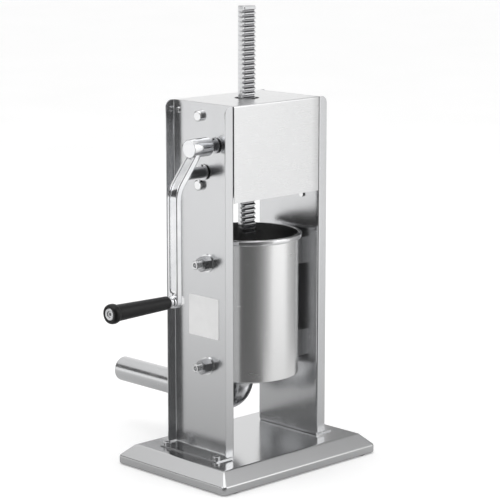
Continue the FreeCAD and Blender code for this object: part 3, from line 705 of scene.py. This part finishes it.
# ------------------------------------------------------------------ threaded studs
PIN_Y, PIN_Z = 7.8, (147.0, 287.0)
for side in (-1, 1):
    for k, z in enumerate(PIN_Z):
        line = [(71.5, 5.9), (92.0, 5.9)]
        x = 92.0
        while x < 101.6:
            line += [(x + 0.25, 5.35), (x + 0.75, 5.35), (x + 1.2, 5.98), (x + 1.5, 5.98)]
            x += 1.5
        line += [(102.7, 5.9), (103.5, 5.1), (103.5, 3.3), (103.1, 3.0), (97.5, 3.0), (96.0, 0.0)]
        stud = lathe(f"canister_stud_{'l' if side < 0 else 'r'}{k}", line, (0, PIN_Y, z), (side, 0, 0),
                     "pin", "frame", 48, sharp=25.0)
        if side > 0 and k == 0:
            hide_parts("canister_pins")

# ------------------------------------------------------------------ air valve spring
# It stands on the piston, under the stem, which presses it down.
VALVE_X, VALVE_Y = -38.0, -18.0
TURNS, PER_TURN, SIDES = 6, 28, 10
SPRING_LOW, SPRING_TALL, SPRING_R, WIRE_R = 244.6, 19.8, 4.0, 0.35
bm = bmesh.new()
rings = []
for i in range(TURNS * PER_TURN + 1):
    turn = 2 * math.pi * i / PER_TURN
    z = SPRING_LOW + SPRING_TALL * i / (TURNS * PER_TURN)
    ring = []
    for j in range(SIDES):
        b = 2 * math.pi * j / SIDES
        r = SPRING_R + WIRE_R * math.cos(b)
        ring.append(bm.verts.new(at(VALVE_X + r * math.cos(turn), VALVE_Y + r * math.sin(turn),
                                    z + WIRE_R * math.sin(b))))
    rings.append(ring)
skin(bm, rings)
close_ends(bm, rings)
spring = finish_mesh("valve_spring", bm, "pin", None, sharp=60.0)
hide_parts("air_valve_spring")
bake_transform(spring)

# ------------------------------------------------------------------ CAD nodes that stay
kept = {
    "base_feet": "rubber", "foot_bolts": "zinc", "foot_nuts": "zinc", "rating_plate": "label",
    "cover_screws": "bright_bolt", "cover_nuts": "bright_bolt", "gear_frame_cheeks": "bracket",
    "gear_frame_webs": "bracket", "bearing_plates": "bracket", "gear_frame_bolts": "bright_bolt",
    "gear_frame_nuts": "zinc", "pinion_bushes": "nylon_black", "slow_shaft_bushes": "nylon_black", "rack_guides": "nylon_black",
    "support_blocks": "bracket", "pin_washers": "bright_bolt", "pin_nuts": "nut", "tube_gasket": "silicone",
    "piston_plate": "nylon_white", "piston_seal": "silicone", "piston_washer": "zinc", "piston_nut": "zinc",
    "air_valve_body": "elbow", "air_valve_stem": "elbow", "pinion_shaft": "gear",
    "rack_pinion": "gear", "large_gear": "gear", "pinion_clips": "zinc", "small_gear": "gear",
    "slow_shaft": "gear", "slow_shaft_clips": "zinc", "thumb_screw": "zinc", "spindle_nut": "bright_bolt",
}
for node, material in kept.items():
    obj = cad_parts[node]
    obj.data.materials.clear()
    obj.data.materials.append(M[material])
    for poly in obj.data.polygons:
        poly.material_index = 0

# ------------------------------------------------------------------ stage
bpy.context.scene.view_settings.view_transform = "Standard"
bpy.context.scene.view_settings.look = "None"
bm = bmesh.new()
size = 12.0
corners = [bm.verts.new((x, y, 0.0)) for x, y in ((-size, -size), (size, -size), (size, size), (-size, size))]
bm.faces.new(corners)
mesh = bpy.data.meshes.new("floor")
bm.to_mesh(mesh)
bm.free()
floor = bpy.data.objects.new("floor", mesh)
bpy.context.scene.collection.objects.link(floor)
n = Nodes("pale_floor")
cloud = n.noise((3, 3, 3), 2.0)
n.colour(n.ramp(cloud, [(0.3, 0.90), (0.7, 0.93)]))
n.set(roughness=0.7)
n.shader.inputs["Emission Color"].default_value = (1.0, 1.0, 1.0, 1.0)
n.shader.inputs["Emission Strength"].default_value = 0.22
mesh.materials.append(n.mat)

world = bpy.data.worlds.new("studio")
bpy.context.scene.world = world
world.use_nodes = True
tree = world.node_tree
back = tree.nodes["Background"]
coord = tree.nodes.new("ShaderNodeTexCoord")
split = tree.nodes.new("ShaderNodeSeparateXYZ")
tree.links.new(coord.outputs["Generated"], split.inputs["Vector"])
ramp = tree.nodes.new("ShaderNodeValToRGB")
els = ramp.color_ramp.elements
els[0].position, els[0].color = 0.0, (1, 1, 1, 1)
els[1].position, els[1].color = 1.0, (0.85, 0.85, 0.85, 1)
for pos, val in ((0.46, 1.0), (0.54, 1.0), (0.66, 0.86), (0.80, 0.72)):
    e = els.new(pos)
    e.color = (val, val, val, 1)
remap = tree.nodes.new("ShaderNodeMapRange")
remap.inputs["From Min"].default_value = -1.0
remap.inputs["From Max"].default_value = 1.0
tree.links.new(split.outputs["Z"], remap.inputs["Value"])
tree.links.new(remap.outputs["Result"], ramp.inputs["Fac"])
tree.links.new(ramp.outputs["Color"], back.inputs["Color"])
back.inputs["Strength"].default_value = 1.02


def area(name, place, target, width, height, watts):
    """A soft rectangular lamp; places and sizes are in metres."""
    data = bpy.data.lights.new(name, "AREA")
    data.shape = "RECTANGLE"
    data.size, data.size_y = width, height
    data.energy = watts
    obj = bpy.data.objects.new(name, data)
    bpy.context.scene.collection.objects.link(obj)
    obj.location = place
    obj.rotation_euler = (Vector(target) - Vector(place)).to_track_quat("-Z", "Y").to_euler()


area("key_left", (2.2, -1.2, 1.9), (0, 0, 0.25), 1.4, 1.8, 9)
area("key_right", (-1.6, 2.4, 1.7), (0, 0, 0.25), 1.4, 1.8, 9)
area("top", (0.2, 0.2, 2.6), (0, 0, 0.2), 1.6, 1.6, 8)


def card(name, bm, material):
    """A studio card that only reflections see."""
    mesh = bpy.data.meshes.new(name)
    bm.to_mesh(mesh)
    bm.free()
    obj = bpy.data.objects.new(name, mesh)
    bpy.context.scene.collection.objects.link(obj)
    material.set(roughness=0.95, spec=0.0)
    mesh.materials.append(material.mat)
    obj.visible_camera = False
    obj.visible_diffuse = False
    obj.visible_shadow = False
    obj.visible_transmission = False
    obj.visible_volume_scatter = False


def arc_quads(first, last, steps, edges):
    """A strip round the canister's axis; edges are its two (radius, height) pairs, in metres."""
    bm = bmesh.new()
    cols = []
    for i in range(steps + 1):
        a = math.radians(first + (last - first) * i / steps)
        cols.append([bm.verts.new((SX / 1000 + r * math.cos(a), SY / 1000 + r * math.sin(a), z))
                     for r, z in edges])
    return bm, zip(cols, cols[1:])


def flag(name, first, last, radius, bottom, top, tone):
    """A grey flag that stands curved round the object, between two azimuths in degrees."""
    bm, strips = arc_quads(first, last, 24, ((radius, bottom), (radius, top)))
    for a, b in strips:
        bm.faces.new((a[0], b[0], b[1], a[1]))
    n = Nodes(name + "_cloth")
    weave = n.noise((40, 40, 40), 2.0)
    n.colour(n.ramp(weave, [(0.3, tone * 0.9), (0.7, tone)]))
    card(name, bm, n)


def floor_shade_card(name, first, last, inner, outer, height, stops):
    """A flat card on the floor, painted darker near the object as shade that reflections show; stops are (distance
    from the frame's origin in m, tone).
    """
    bm, strips = arc_quads(first, last, 48, ((inner, height), (outer, height)))
    for a, b in strips:
        bm.faces.new((a[0], a[1], b[1], b[0]))
    n = Nodes(name + "_grey")
    length = n.new("ShaderNodeVectorMath", operation="LENGTH")
    n.link(n.coord, length.inputs[0])
    far = stops[-1][0]
    place = n.span(length.outputs["Value"], 0.0, far, 0.0, 1.0)
    n.colour(n.ramp(place, [(r / far, t) for r, t in stops]))
    card(name, bm, n)


# The flags' azimuths and tones were set against the photograph. The two rows in steps follow
# how bright the canister is across its width there.
FLAG_LOW, FLAG_HIGH = 0.0, 0.95
NEAR_R, LEFT_R, FAR_R = 0.60, 0.62, 2.5
graded = [(62, 70, 0.15), (70, 77, 0.21), (77, 84, 0.29), (84, 91, 0.41), (91, 98, 0.58)]
left_row = [(140, 149, 0.60), (149, 159, 0.48), (159, 172, 0.40), (172, 214, 0.32)]
flag("flag_behind_camera", 14, 62, NEAR_R, FLAG_LOW, FLAG_HIGH, 0.11)
for i, (first, last, tone) in enumerate(graded):
    flag(f"flag_graded_{i}", first, last, NEAR_R, FLAG_LOW, FLAG_HIGH, tone)
flag("flag_far_right", -85, -8, FAR_R, 0.50, 1.40, 0.06)
for i, (first, last, tone) in enumerate(left_row):
    flag(f"flag_left_{i}", first, last, LEFT_R, FLAG_LOW, FLAG_HIGH, tone)
# Painted shade on the floor, seen only in reflections: the first card darkens towards the object as contact shade,
# and the second is a dark patch of painted shade between azimuths 14 and 80 degrees.
floor_shade_card("floor_shade_card", 0, 360, 0.02, 3.0, 0.0004, [(0.0, 0.52), (0.30, 0.58), (0.9, 0.78), (2.0, 0.99)])
floor_shade_card("floor_shade_card_dark", 14, 80, 0.20, 0.60, 0.0008, [(0.0, 0.10), (0.7, 0.12)])

# ------------------------------------------------------------------ camera
data = bpy.data.cameras.new("camera")
SENSOR = 36.0
FOCAL_PX, PICTURE_PX = 2024.235, 500.0
data.sensor_width = SENSOR
data.lens = FOCAL_PX / PICTURE_PX * SENSOR
data.clip_end = 100.0
camera = bpy.data.objects.new("camera", data)
bpy.context.scene.collection.objects.link(camera)
camera.location = at(1875.6, 1932.42, 816.0)
camera.rotation_euler = (math.radians(90 - 10.996), 0.0, math.radians(135.765))
bpy.context.scene.camera = camera

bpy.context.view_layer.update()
